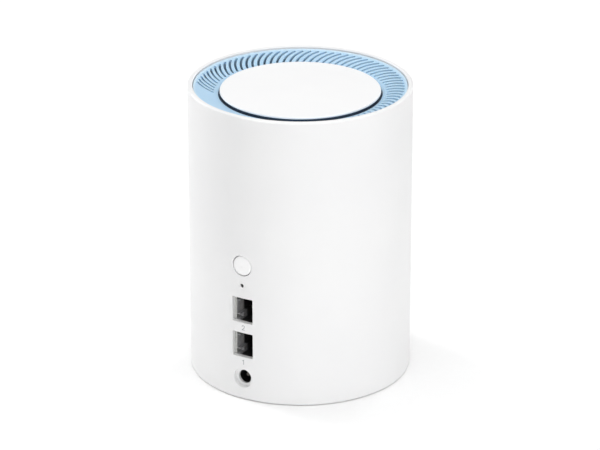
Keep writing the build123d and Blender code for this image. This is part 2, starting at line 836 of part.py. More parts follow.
with BuildPart() as power_jack_housing:
    block(
        (board_face, board_face + power_jack_height),
        (power_jack_y, power_jack_y + power_jack_depth),
        (power_z - power_jack_width / 2, power_z + power_jack_width / 2),
    )
    with BuildSketch(Plane.XZ.offset(-power_jack_y)):
        with Locations((0, power_z)):
            Circle(power_bore_radius)
    extrude(amount=-power_bore_depth, mode=Mode.SUBTRACT)
    with BuildSketch(Plane.XZ.offset(-bore_back_y)):
        with Locations((0, power_z)):
            Circle(power_pin_root_radius)
    extrude(amount=-power_pin_root, mode=Mode.SUBTRACT)
    block((0, leaf_x[1]), (leaf_front_y, bore_back_y), leaf_z, Mode.SUBTRACT)
power_jack_housing.part.label = "power_jack_housing"
export_step(power_jack_housing.part, "parts/power_jack_housing.step")

with BuildPart() as power_jack_pin:
    with BuildSketch(Plane.XZ.offset(-bore_back_y)):
        with Locations((0, power_z)):
            Circle(power_pin_root_radius)
    extrude(amount=-power_pin_root)
    with BuildSketch(Plane.XZ.offset(-bore_back_y)):
        with Locations((0, power_z)):
            Circle(power_pin_radius)
    extrude(amount=bore_back_y - pin_tip_y)
    fillet(power_jack_pin.faces().sort_by(Axis.Y)[0].edges(), power_pin_radius / 2)
power_jack_pin.part.label = "power_jack_pin"
export_step(power_jack_pin.part, "parts/power_jack_pin.step")

with BuildPart() as power_jack_leaf:
    block(leaf_x, (leaf_front_y, bore_back_y), leaf_z)
power_jack_leaf.part.label = "power_jack_leaf"
export_step(power_jack_leaf.part, "parts/power_jack_leaf.step")

# Pairing button: a crowned cap in the shell's guide, kept in by its flange, with a post that meets the
# switch behind it.
button_seat_y = land_y + button_sleeve_length + port_seat_gap
button_back_y = button_seat_y + button_flange_thickness
button_edge_y = button_crown - shell_radius
pair_tip_y = button_back_y + button_post_length
pair_front_y = pair_tip_y + pair_plunger_length
reset_tip_y = land_y + reset_plunger_gap
reset_front_y = reset_tip_y + reset_plunger_length

with BuildPart() as pair_button:
    with BuildSketch(Plane.XY.offset(pair_z)):
        with BuildLine():
            ThreePointArc(
                (-button_radius, button_edge_y), (0, -shell_radius), (button_radius, button_edge_y)
            )
            Polyline(
                (button_radius, button_edge_y),
                (button_radius, button_seat_y),
                (button_radius + button_lip, button_seat_y),
                (button_radius + button_lip, button_back_y),
                (button_post_radius, button_back_y),
                (button_post_radius, pair_tip_y),
                (-button_post_radius, pair_tip_y),
                (-button_radius, button_edge_y),
            )
        make_face()
        with Locations((-body_diameter / 2, 0)):
            Rectangle(body_diameter, 2 * body_diameter, mode=Mode.SUBTRACT)
    revolve(axis=Axis((0, 0, pair_z), (0, 1, 0)))
    front_rings = pair_button.edges().filter_by(GeomType.CIRCLE).filter_by(
        lambda edge: abs(edge.radius - button_radius) < button_edge_round
    )
    fillet(front_rings.sort_by(Axis.Y)[0], button_edge_round)
pair_button.part.label = "pair_button"
export_step(pair_button.part, "parts/pair_button.step")


# Push switches: a case in a steel bracket on the board, with a plunger that slides in it.
def switch_case(front_y, z):
    """The moulded case, with a blind hole for the plunger."""
    half = switch_size / 2
    with BuildPart() as case:
        block((-half, half), (front_y, front_y + switch_depth), (z - half, z + half))
        fillet(case.edges().filter_by(Axis.Y), switch_corner)
        with BuildSketch(Plane.XZ.offset(-front_y)):
            with Locations((0, z)):
                Circle(plunger_radius + plunger_gap)
        extrude(amount=-(plunger_insert + switch_travel + part_gap), mode=Mode.SUBTRACT)
    return case


def switch_plunger(tip_y, front_y, z):
    """The round plunger, from its tip to its end inside the case."""
    with BuildPart() as plunger:
        with BuildSketch(Plane.XZ.offset(-tip_y)):
            with Locations((0, z)):
                Circle(plunger_radius)
        extrude(amount=-(front_y - tip_y + plunger_insert))
    return plunger


def switch_bracket(front_y, z):
    """The folded steel bracket that holds the case up from the board at its sides and back."""
    half = switch_size / 2
    back_y = front_y + switch_depth
    with BuildPart() as bracket:
        block(
            (board_face, bracket_reach),
            (front_y, back_y + bracket_sheet),
            (z - half - bracket_sheet, z + half + bracket_sheet),
        )
        block(
            (board_face, bracket_reach),
            (front_y, back_y),
            (z - half, z + half),
            Mode.SUBTRACT,
        )
    return bracket


for switch, tip_y, front_y, switch_z in (
    ("pair", pair_tip_y, pair_front_y, pair_z),
    ("reset", reset_tip_y, reset_front_y, reset_z),
):
    for piece, made in (
        ("case", switch_case(front_y, switch_z)),
        ("plunger", switch_plunger(tip_y, front_y, switch_z)),
        ("bracket", switch_bracket(front_y, switch_z)),
    ):
        made.part.label = f"{switch}_switch_{piece}"
        export_step(made.part, f"parts/{switch}_switch_{piece}.step")

# Status light: a lamp at the board's edge and a clear pipe that carries its light to the shell.
lamp_x = board_face + lamp_size[0] / 2
pipe_start = board_half_width + pipe_gap
pipe_kneel = flange_outer + light_radius
pipe_collar_y = bore_radius - fit_gap

with BuildPart() as status_lamp:
    on_board(lamp_size, (board_half_width - lamp_size[1] / 2, light_z))
status_lamp.part.label = "status_lamp"
export_step(status_lamp.part, "parts/status_lamp.step")

with BuildPart() as light_pipe:
    with BuildLine() as pipe_line:
        FilletPolyline(
            (lamp_x, pipe_start, light_z),
            (lamp_x, pipe_kneel, light_z),
            (0, pipe_kneel - lamp_x, light_z),
            (0, shell_radius, light_z),
            radius=light_bend,
        )
    with BuildSketch(Plane.XZ.offset(-pipe_start)):
        with Locations((lamp_x, light_z)):
            Circle(light_radius)
    sweep()
    with BuildSketch(Plane.XZ.offset(-pipe_collar_y)):
        with Locations((0, light_z)):
            Circle(light_radius + pipe_collar)
    extrude(amount=pipe_collar)
light_pipe.part.label = "light_pipe"
export_step(light_pipe.part, "parts/light_pipe.step")

# Chips and other plain parts that stand on the board.
def from_top(size, place):
    """A chip's size and its place as a height, from its distance below the board's top."""
    return size, (place[0], board_top - place[1])


transformer_y = jack_back_y + transformer_gap + transformer_size[1] / 2
inductor_places = [(inductor[1][0] - step * inductor_pitch, inductor[1][1]) for step in range(2)]
chips = {
    "processor_chip": [from_top(*processor)],
    "memory_chip": [from_top(*memory)],
    "flash_chip": [from_top(*flash)],
    "clock_crystal": [from_top(*crystal)],
    "radio_chip": [from_top(*radio)],
    "network_transformers": [(transformer_size, (transformer_y, z)) for z in (wan_z, lan_z)],
    "power_inductors": [(inductor[0], place) for place in inductor_places],
}
for name, solids in chips.items():
    with BuildPart() as chip:
        for size, place in solids:
            on_board(size, place)
    chip.part.label = name
    export_step(chip.part, f"parts/{name}.step")

with BuildPart() as radio_can:
    on_board(*from_top(*radio_shield))
    off, across, up = radio_shield[0]
    inside = (off - can_sheet, across - 2 * can_sheet, up - 2 * can_sheet)
    y, z = radio_shield[1][0], board_top - radio_shield[1][1]
    block(
        (board_face, board_face + inside[0]),
        (y - inside[1] / 2, y + inside[1] / 2),
        (z - inside[2] / 2, z + inside[2] / 2),
        Mode.SUBTRACT,
    )
radio_can.part.label = "radio_can"
export_step(radio_can.part, "parts/radio_can.step")

capacitor_y, capacitor_z = capacitor_start
capacitors = [(capacitor_y + step * capacitor_pitch, capacitor_z) for step in range(capacitor_count)]

with BuildPart() as filter_capacitors:
    with BuildSketch(Plane.YZ.offset(board_face)):
        with Locations(*capacitors):
            Circle(capacitor_radius)
    extrude(amount=capacitor_length)
    fillet(filter_capacitors.faces().group_by(Axis.X)[-1].edges(), capacitor_radius / 8)
filter_capacitors.part.label = "filter_capacitors"
export_step(filter_capacitors.part, "parts/filter_capacitors.step")

# Heat sink: a finned plate on a soft pad over the processor, held by two push pins through the board.
pad_face = board_face + processor[0][0] + pad_thickness
sink_face = pad_face + sink_base
fin_pitch = (sink_width - fin_thickness) / (fin_count - 1)
sink_low = (sink_y - sink_width / 2, sink_z - sink_height / 2)

with BuildPart() as thermal_pad:
    block(
        (board_face + processor[0][0], pad_face),
        (sink_y - processor[0][1] / 2, sink_y + processor[0][1] / 2),
        (sink_z - processor[0][2] / 2, sink_z + processor[0][2] / 2),
    )
thermal_pad.part.label = "thermal_pad"
export_step(thermal_pad.part, "parts/thermal_pad.step")

with BuildPart() as heat_sink:
    block(
        (pad_face, sink_face),
        (sink_low[0], sink_low[0] + sink_width),
        (sink_low[1], sink_low[1] + sink_height),
    )
    for number in range(fin_count):
        fin_y = sink_low[0] + number * fin_pitch
        block(
            (sink_face, sink_face + fin_height),
            (fin_y, fin_y + fin_thickness),
            (sink_low[1], sink_low[1] + sink_height),
        )
    with BuildSketch(Plane.YZ.offset(sink_face)):
        with Locations(*sink_pins):
            Circle(sink_pin_head_radius + part_gap)
    extrude(amount=fin_height, mode=Mode.SUBTRACT)
    with BuildSketch(Plane.YZ.offset(pad_face)):
        with Locations(*sink_pins):
            Circle(sink_pin_radius + screw_hole_gap)
    extrude(amount=sink_base, mode=Mode.SUBTRACT)
heat_sink.part.label = "heat_sink"
export_step(heat_sink.part, "parts/heat_sink.step")

with BuildPart() as heat_sink_pins:
    for start_x, length, radius in (
        (sink_face, sink_pin_head, sink_pin_head_radius),
        (board_back, sink_face - board_back, sink_pin_radius),
        (board_back - sink_pin_head, sink_pin_head, sink_pin_radius + sink_pin_barb),
    ):
        with BuildSketch(Plane.YZ.offset(start_x)):
            with Locations(*sink_pins):
                Circle(radius)
        extrude(amount=length)
heat_sink_pins.part.label = "heat_sink_pins"
export_step(heat_sink_pins.part, "parts/heat_sink_pins.step")

# Antennas: printed strips on the frame's flanges, each with a thin coaxial lead that runs over the
# flange's top to its plug on the board.
antenna_top = frame_top - antenna_top_gap
antenna_face = flange_outer + antenna_thickness
lead_y = antenna_face + lead_radius + lead_gap
lead_x = board_face + lead_standoff
socket_height = board_top - socket_drop
lead_start_z = frame_top - lead_start_drop
lead_end_z = socket_height + lead_end_rise
long_antenna_length = antenna_top - frame_front_bottom
top_screw_y = board_half_width - board_top_hole[0]
antennas = {
    f"{size}_antenna_{side}": (sign, length, place, top_screw_y - socket_gap)
    for size, length, place, socket_gap in (
        ("long", long_antenna_length, long_antenna_place, long_socket_gap),
        ("short", short_antenna_length, short_antenna_place, short_socket_gap),
    )
    for side, sign in (("front", -1), ("rear", 1))
}

for name, (sign, length, place, socket_y) in antennas.items():
    with BuildPart() as antenna:
        block(
            (place - antenna_width / 2, place + antenna_width / 2),
            sorted((sign * flange_outer, sign * antenna_face)),
            (antenna_top - length, antenna_top),
        )
    antenna.part.label = name
    export_step(antenna.part, f"parts/{name}.step")

    route = [
        Vector(place, sign * lead_y, lead_start_z),
        Vector(place, sign * lead_y, lead_top_z),
        Vector(lead_x, sign * socket_y, lead_top_z),
        Vector(lead_x, sign * socket_y, lead_end_z),
    ]
    runs = [(end - start).length for start, end in zip(route, route[1:])]
    half_turns = [
        (route[corner] - route[corner - 1]).get_angle(route[corner + 1] - route[corner]) / 2
        for corner in (1, 2)
    ]
    radii = [
        lead_arc_share * min(runs[corner], runs[corner + 1]) / tan(radians(half_turns[corner]))
        for corner in (0, 1)
    ]
    with BuildPart() as lead:
        with BuildLine():
            lead_path = FilletPolyline(*route, radius=radii)
        with BuildSketch(Plane(route[0], z_dir=route[1] - route[0])):
            Circle(lead_radius)
        sweep()
    lead.part.label = f"{name}_lead"
    export_step(lead.part, f"parts/{name}_lead.step")
    expected = lead_path.length * pi * lead_radius**2
    print(name, "radii", [round(radius, 2) for radius in radii], "volume", lead.part.volume / expected)

# Antenna connectors: a socket on the board for each lead, and the push-on plug crimped to the lead.
sockets = [(sign * socket_y, socket_height) for sign, length, place, socket_y in antennas.values()]
socket_face = board_face + socket_base[0]
plug_top = socket_face + plug_length

with BuildPart() as antenna_sockets:
    for place in sockets:
        on_board(socket_base, place)
    with BuildSketch(Plane.YZ.offset(socket_face)):
        with Locations(*sockets):
            Circle(socket_post_radius)
    extrude(amount=socket_post_height)
antenna_sockets.part.label = "antenna_sockets"
export_step(antenna_sockets.part, "parts/antenna_sockets.step")

with BuildPart() as antenna_plugs:
    with BuildSketch(Plane.YZ.offset(socket_face)):
        with Locations(*sockets):
            Circle(plug_radius)
    extrude(amount=plug_length)
    for y, z in sockets:
        block((socket_face, plug_top), (y - crimp_width / 2, y + crimp_width / 2), (z, lead_end_z))
    with BuildSketch(Plane.YZ.offset(socket_face)):
        with Locations(*sockets):
            Circle(socket_post_radius)
    extrude(amount=socket_post_height, mode=Mode.SUBTRACT)
antenna_plugs.part.label = "antenna_plugs"
export_step(antenna_plugs.part, "parts/antenna_plugs.step")
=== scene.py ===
import math

import bmesh
import bpy
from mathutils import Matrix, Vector


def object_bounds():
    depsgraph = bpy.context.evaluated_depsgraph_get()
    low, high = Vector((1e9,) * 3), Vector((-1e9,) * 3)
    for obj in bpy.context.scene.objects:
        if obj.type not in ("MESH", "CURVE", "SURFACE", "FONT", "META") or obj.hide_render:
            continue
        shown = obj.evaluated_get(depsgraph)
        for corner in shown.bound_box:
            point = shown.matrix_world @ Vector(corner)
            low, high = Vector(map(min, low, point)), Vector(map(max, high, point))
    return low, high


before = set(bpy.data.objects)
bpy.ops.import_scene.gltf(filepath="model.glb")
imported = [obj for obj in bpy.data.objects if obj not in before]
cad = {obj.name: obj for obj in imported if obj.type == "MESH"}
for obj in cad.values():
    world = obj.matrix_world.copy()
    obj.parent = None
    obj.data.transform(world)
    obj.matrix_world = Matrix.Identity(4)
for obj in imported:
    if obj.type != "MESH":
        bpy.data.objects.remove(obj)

cad_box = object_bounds()


# Rubber feet: four round pads of grey silicone rubber, moulded with a soft matt skin and pressed into
# the base cover's recesses.
def new_finish(name, **fixed):
    """A new material with its shader's fixed values; also returns the shader and the object coordinates."""
    made = bpy.data.materials.new(name)
    made.use_nodes = True
    shader = made.node_tree.nodes["Principled BSDF"]
    for socket, value in fixed.items():
        shader.inputs[socket.replace("_", " ")].default_value = value
    place = made.node_tree.nodes.new("ShaderNodeTexCoord").outputs["Object"]
    return made, shader, place


def step(made, kind, settings=None, **inputs):
    """One node of a finish, with its settings and its inputs, fixed or linked; _0 is input number 0."""
    node = made.node_tree.nodes.new("ShaderNode" + kind)
    for setting, value in (settings or {}).items():
        setattr(node, setting, value)
    for socket, value in inputs.items():
        target = node.inputs[int(socket[1:])] if socket[0] == "_" else node.inputs[socket.replace("_", " ")]
        if isinstance(value, bpy.types.NodeSocket):
            made.node_tree.links.new(value, target)
        else:
            target.default_value = value
    return node


def noise(made, place, scale, detail=2.0):
    """Even random grain; scale is the number of grains to a metre."""
    return step(made, "TexNoise", Vector=place, Scale=scale, Detail=detail).outputs["Fac"]


def shift(made, value, low, high, start=0.3, end=0.7):
    """A value moved from the range start to end into the range low to high."""
    return step(
        made, "MapRange", Value=value, From_Min=start, From_Max=end, To_Min=low, To_Max=high
    ).outputs["Result"]


def blend_colours(made, share, first, second):
    """Between two colours by a share."""
    return step(made, "Mix", {"data_type": "RGBA"}, _0=share, _6=first, _7=second).outputs[2]


def feed(made, shader, **links):
    """Link values into the shader's sockets."""
    for socket, value in links.items():
        made.node_tree.links.new(value, shader.inputs[socket.replace("_", " ")])


def relief(made, height, depth):
    """Raised and sunk detail, depth metres from its lowest to its highest point."""
    return step(made, "Bump", Strength=1.0, Distance=depth, Height=height).outputs["Normal"]


def rgb(red, green, blue):
    """A linear colour from the display values of a colour card."""
    display = (red, green, blue)
    return (*((v / 12.92 if v <= 0.04045 else ((v + 0.055) / 1.055) ** 2.4) for v in display), 1.0)


def moulded(name, pale, deep, gloss, grain, grain_depth):
    """Moulded plastic or rubber: slow flow marks in its colour, uneven gloss and the tool's fine grain."""
    made, shader, place = new_finish(name)
    flow = noise(made, place, 60.0, 3.0)
    spark = noise(made, place, grain)
    smear = noise(made, place, 420.0, 4.0)
    feed(
        made,
        shader,
        Base_Color=blend_colours(made, shift(made, flow, 0.0, 1.0), pale, deep),
        Roughness=shift(made, smear, *gloss),
        Normal=relief(made, spark, grain_depth),
    )
    return made


def wear(node, made):
    """Give a CAD node its finish."""
    cad[node].material_slots[0].material = made


wear("rubber_feet", moulded(
    "silicone_rubber", pale=rgb(0.46, 0.46, 0.47), deep=rgb(0.40, 0.40, 0.41),
    gloss=(0.72, 0.86), grain=5200.0, grain_depth=1.2e-5,
))

# Base cover: the plate that closes the shell from below, moulded in matt white ABS. Its underside is
# spark-eroded so that it doesn't show scratches, and its screws are hidden under the feet.
wear("base_cover", moulded(
    "matt_white_abs", pale=rgb(0.93, 0.93, 0.93), deep=rgb(0.91, 0.91, 0.915),
    gloss=(0.50, 0.60), grain=3600.0, grain_depth=1.6e-5,
))


# Screws: steel with turning marks on the heads, zinc-plated to a slight blue and yellow cast. They hold
# the base cover, the inner frame and the main board.
def plated(name, bright, dull, gloss, marks, marks_depth, stretch=(1.0, 1.0, 1.0)):
    """Plated or bare metal: cloudy colour and fine marks, drawn out along the axis that stretch lowers."""
    made, shader, place = new_finish(name, Metallic=1.0)
    drawn = step(made, "Mapping", Vector=place, Scale=stretch).outputs["Vector"]
    cloud = noise(made, place, 700.0, 3.0)
    fine = noise(made, drawn, marks, 3.0)
    feed(
        made,
        shader,
        Base_Color=blend_colours(made, shift(made, cloud, 0.0, 1.0), bright, dull),
        Roughness=shift(made, fine, *gloss),
        Normal=relief(made, fine, marks_depth),
    )
    return made


zinc = plated(
    "zinc_plated_steel", bright=rgb(0.80, 0.81, 0.84), dull=rgb(0.74, 0.73, 0.70),
    gloss=(0.26, 0.42), marks=6000.0, marks_depth=4e-6,
)
for group in ("base_screws", "frame_screws", "board_screws"):
    wear(group, zinc)

# Inner frame: the upright chassis that carries the board and the antennas, moulded in black nylon
# filled with glass, which shows as faint pale streaks.
frame_nylon, shader, place = new_finish("glass_filled_nylon", Specular_IOR_Level=0.4)
glass_share = (0.5, 0.8)  # of the grain, over which the glass comes through
upright = step(frame_nylon, "Mapping", Vector=place, Scale=(1.0, 1.0, 0.12)).outputs["Vector"]
streaks = noise(frame_nylon, upright, 2600.0)
glass = shift(frame_nylon, streaks, 0.0, 1.0, *glass_share)
feed(
    frame_nylon,
    shader,
    Base_Color=blend_colours(frame_nylon, glass, rgb(0.10, 0.10, 0.105), rgb(0.24, 0.24, 0.24)),
    Roughness=shift(frame_nylon, noise(frame_nylon, place, 500.0), 0.48, 0.66),
    Normal=relief(frame_nylon, streaks, 8e-6),
)
wear("inner_frame", frame_nylon)

# Main board: woven glass and epoxy under a green solder mask, with copper tracks and gilt vias. Four
# screws hold it upright on the inner frame.
solder_mask, shader, place = new_finish("solder_mask", Coat_Weight=0.6, Coat_Roughness=0.12)
track_edge = (0.05, 0.08)  # distances from the tracks' middle lines, in cells
via_edge = (0.10, 0.13)  # radii of the vias, in cells
flat = step(solder_mask, "VectorMath", {"operation": "MULTIPLY"}, _0=place, _1=(0.0, 1.0, 1.0)).outputs[0]
tracks = step(
    solder_mask, "TexVoronoi", {"feature": "DISTANCE_TO_EDGE"}, Vector=flat, Scale=260.0, Randomness=0.75
).outputs["Distance"]
track = shift(solder_mask, tracks, 1.0, 0.0, *track_edge)
dots = step(solder_mask, "TexVoronoi", Vector=flat, Scale=420.0, Randomness=0.9).outputs["Distance"]
via = shift(solder_mask, dots, 1.0, 0.0, *via_edge)
weave = step(
    solder_mask, "TexWave", {"bands_direction": "DIAGONAL"}, Vector=flat, Scale=520.0
).outputs["Fac"]
mask_colour = blend_colours(solder_mask, weave, rgb(0.05, 0.30, 0.17), rgb(0.06, 0.34, 0.19))
copper_under = blend_colours(solder_mask, track, mask_colour, rgb(0.13, 0.46, 0.24))
feed(
    solder_mask,
    shader,
    Base_Color=blend_colours(solder_mask, via, copper_under, rgb(0.85, 0.70, 0.38)),
    Metallic=via,
    Roughness=shift(solder_mask, via, 0.38, 0.25, 0.0, 1.0),
    Normal=relief(solder_mask, track, 3e-5),
)
wear("main_board", solder_mask)

# Network jacks: folded shields of tin-plated steel over moulded black polyester inserts. Near the mouth the
# inserts' side wall carries painted light, a mottled grey where light falls in. The contact wires are gilt
# phosphor bronze.
tin = plated(
    "tin_plated_steel", bright=rgb(0.90, 0.90, 0.89), dull=rgb(0.82, 0.82, 0.81),
    gloss=(0.48, 0.60), marks=3000.0, marks_depth=5e-6, stretch=(1.0, 0.15, 1.0),
)
jack_polyester, shader, place = new_finish("black_polyester_painted_light")
lit_wall_edge = (-0.0030, -0.0018)  # across the mouth, from the painted lit wall to the shaded side
lit_depth_end = (-0.0424, -0.0412)  # in from the mouth, where the painted light fades to black
across, inward = step(jack_polyester, "SeparateXYZ", _0=place).outputs[:2]
mottle = noise(jack_polyester, place, 900.0, 3.0)
# painted light: the insert's side wall near the mouth is grey where light falls in, black deeper in
lit_side_mask = step(
    jack_polyester,
    "Math",
    {"operation": "MULTIPLY"},
    _0=shift(jack_polyester, across, 1.0, 0.0, *lit_wall_edge),
    _1=shift(jack_polyester, inward, 1.0, 0.0, *lit_depth_end),
).outputs[0]
uneven = shift(jack_polyester, mottle, 0.7, 1.0)
painted_wall_light = step(jack_polyester, "Math", {"operation": "MULTIPLY"}, _0=lit_side_mask, _1=uneven).outputs[0]
feed(
    jack_polyester,
    shader,
    Base_Color=blend_colours(jack_polyester, painted_wall_light, rgb(0.10, 0.10, 0.105), rgb(0.64, 0.64, 0.65)),
    Roughness=shift(jack_polyester, mottle, 0.40, 0.56),
    Normal=relief(jack_polyester, noise(jack_polyester, place, 4200.0), 6e-6),
)
gilt = plated(
    "gilt_contacts", bright=rgb(0.95, 0.78, 0.42), dull=rgb(0.88, 0.68, 0.33),
    gloss=(0.16, 0.30), marks=5000.0, marks_depth=2e-6, stretch=(1.0, 0.1, 1.0),
)
for port in ("lan", "wan"):
    wear(f"{port}_jack_shield", tin)
    wear(f"{port}_jack_insert", jack_polyester)
    wear(f"{port}_jack_contacts", gilt)

# Power jack: a moulded black nylon housing with a nickel-plated centre pin and a leaf spring, soldered
# to the main board. The pin has a duller gloss, and its nickel is painted darker as painted shade deep in
# the socket.
nickel = plated(
    "nickel_plate", bright=rgb(0.82, 0.80, 0.76), dull=rgb(0.75, 0.73, 0.69),
    gloss=(0.12, 0.22), marks=5000.0, marks_depth=2e-6, stretch=(1.0, 0.2, 1.0),
)
wear("power_jack_housing", moulded(
    "black_nylon", pale=rgb(0.075, 0.075, 0.08), deep=rgb(0.055, 0.055, 0.055),
    gloss=(0.38, 0.52), grain=3800.0, grain_depth=6e-6,
))
wear("power_jack_leaf", nickel)
# painted shade: the pin's nickel colour is darkened so it reads as shaded inside the socket
wear("power_jack_pin", plated(
    "shade_darkened_nickel", bright=rgb(0.46, 0.45, 0.43), dull=rgb(0.38, 0.37, 0.36),
    gloss=(0.42, 0.54), marks=5000.0, marks_depth=2e-6, stretch=(1.0, 0.2, 1.0),
))

# Push switches: black nylon cases with slightly paler acetal plungers, held in folded brackets of
# tin-plated steel. One stands behind the pairing button and one behind the pinhole.
switch_case = moulded(
    "switch_nylon", pale=rgb(0.12, 0.12, 0.12), deep=rgb(0.09, 0.09, 0.09),
    gloss=(0.42, 0.56), grain=5200.0, grain_depth=5e-6,
)
plunger = moulded(
    "plunger_acetal", pale=rgb(0.17, 0.17, 0.17), deep=rgb(0.14, 0.14, 0.14),
    gloss=(0.28, 0.40), grain=5200.0, grain_depth=3e-6,
)
for switch in ("pair", "reset"):
    wear(f"{switch}_switch_case", switch_case)
    wear(f"{switch}_switch_plunger", plunger)
    wear(f"{switch}_switch_bracket", tin)

# Status light: a water-clear epoxy lamp soldered to the board, and a light pipe moulded in clear
# polycarbonate that leads its light through the shell's wall.
lamp, shader, place = new_finish("lamp_epoxy", IOR=1.54, Transmission_Weight=0.35)
glow = noise(lamp, place, 900.0)
warmth = shift(lamp, glow, 0.0, 1.0)
feed(
    lamp,
    shader,
    Base_Color=blend_colours(lamp, warmth, rgb(0.98, 0.97, 0.86), rgb(0.95, 0.90, 0.62)),
    Roughness=shift(lamp, glow, 0.10, 0.22),
)
wear("status_lamp", lamp)
pipe, shader, place = new_finish("clear_polycarbonate", IOR=1.585, Transmission_Weight=0.9)
drawn = noise(pipe, place, 800.0)
haze = shift(pipe, drawn, 0.0, 1.0)
feed(
    pipe,
    shader,
    Base_Color=blend_colours(pipe, haze, rgb(0.98, 0.985, 0.99), rgb(0.95, 0.96, 0.97)),
    Roughness=shift(pipe, drawn, 0.08, 0.16),
    Normal=relief(pipe, drawn, 4e-6),
)
wear("light_pipe", pipe)

# Chips: black epoxy packages with a fine matt mould grain, soldered to the board beside the network
# transformers, the ferrite inductors, the clock crystal under its metal lid and the tin-plated radio can.
epoxy = moulded(
    "chip_epoxy", pale=rgb(0.13, 0.13, 0.135), deep=rgb(0.105, 0.105, 0.11),
    gloss=(0.50, 0.62), grain=8000.0, grain_depth=5e-6,
)
for chip in ("processor_chip", "memory_chip", "flash_chip", "radio_chip"):
    wear(chip, epoxy)
wear("network_transformers", moulded(
    "transformer_epoxy", pale=rgb(0.11, 0.11, 0.115), deep=rgb(0.09, 0.09, 0.09),
    gloss=(0.34, 0.48), grain=4200.0, grain_depth=6e-6,
))
wear("power_inductors", moulded(
    "ferrite", pale=rgb(0.34, 0.34, 0.35), deep=rgb(0.26, 0.26, 0.27),
    gloss=(0.42, 0.60), grain=5200.0, grain_depth=1.4e-5,
))
wear("clock_crystal", plated(
    "crystal_lid", bright=rgb(0.80, 0.79, 0.76), dull=rgb(0.72, 0.71, 0.68),
    gloss=(0.24, 0.38), marks=4800.0, marks_depth=3e-6,
))
wear("radio_can", plated(
    "can_tin_plate", bright=rgb(0.80, 0.80, 0.79), dull=rgb(0.71, 0.71, 0.70),
    gloss=(0.26, 0.44), marks=2600.0, marks_depth=6e-6, stretch=(1.0, 1.0, 0.2),
))

# Filter capacitors: three cans drawn from bare aluminium, with the fine marks of the drawing die. They
# are soldered to the main board.
wear("filter_capacitors", plated(
    "capacitor_aluminium", bright=rgb(0.86, 0.86, 0.87), dull=rgb(0.78, 0.78, 0.79),
    gloss=(0.30, 0.44), marks=5200.0, marks_depth=4e-6, stretch=(0.1, 1.0, 1.0),
))

# Heat sink: a sawn aluminium extrusion on a grey silicone pad over the processor, held to the board by
# two nylon push pins.
wear("heat_sink", plated(
    "extruded_aluminium", bright=rgb(0.80, 0.81, 0.82), dull=rgb(0.70, 0.71, 0.72),
    gloss=(0.34, 0.50), marks=4200.0, marks_depth=9e-6, stretch=(1.0, 1.0, 0.04),
))
wear("thermal_pad", moulded(
    "thermal_silicone", pale=rgb(0.56, 0.58, 0.60), deep=rgb(0.48, 0.50, 0.52),
    gloss=(0.80, 0.92), grain=3200.0, grain_depth=2e-5,
))
wear("heat_sink_pins", moulded(
    "natural_nylon", pale=rgb(0.86, 0.84, 0.77), deep=rgb(0.81, 0.79, 0.71),
    gloss=(0.38, 0.50), grain=4200.0, grain_depth=5e-6,
))

# Antennas: thin green printed strips, two long and two short, on the inner frame's flanges. Their grey
# coaxial leads end in gilt push-on plugs on the main board's gilt sockets.
strip, shader, place = new_finish("antenna_board", Coat_Weight=0.4, Coat_Roughness=0.15)
bar_edge = (0.62, 0.68)  # heights on the wave between which a copper bar begins
bars = step(strip, "TexWave", {"bands_direction": "Z"}, Vector=place, Scale=70.0).outputs["Fac"]
bar = shift(strip, bars, 0.0, 1.0, *bar_edge)
feed(
    strip,
    shader,
    Base_Color=blend_colours(strip, bar, rgb(0.10, 0.34, 0.20), rgb(0.17, 0.47, 0.27)),
    Roughness=shift(strip, noise(strip, place, 700.0), 0.34, 0.46),
    Normal=relief(strip, bar, 3e-5),
)
jacket = moulded(
    "lead_jacket", pale=rgb(0.62, 0.62, 0.63), deep=rgb(0.56, 0.56, 0.57),
    gloss=(0.24, 0.36), grain=2600.0, grain_depth=4e-6,
)
for size in ("long", "short"):
    for side in ("front", "rear"):
        wear(f"{size}_antenna_{side}", strip)
        wear(f"{size}_antenna_{side}_lead", jacket)
wear("antenna_sockets", gilt)
wear("antenna_plugs", gilt)

# Outer shell: one tall moulding in satin white ABS, polished smooth outside. The sockets' numbers are
# pad-printed on it in grey.
shell_abs, shader, place = new_finish(
    "satin_white_abs", Subsurface_Weight=0.35, Subsurface_Radius=(1.0, 1.0, 1.0), Subsurface_Scale=0.0012
)
flow = noise(shell_abs, place, 22.0, 3.0)
smear = noise(shell_abs, place, 160.0, 4.0)
spark = noise(shell_abs, place, 5200.0)
white = blend_colours(
    shell_abs, shift(shell_abs, flow, 0.0, 1.0), rgb(0.944, 0.944, 0.944), rgb(0.934, 0.934, 0.936)
)

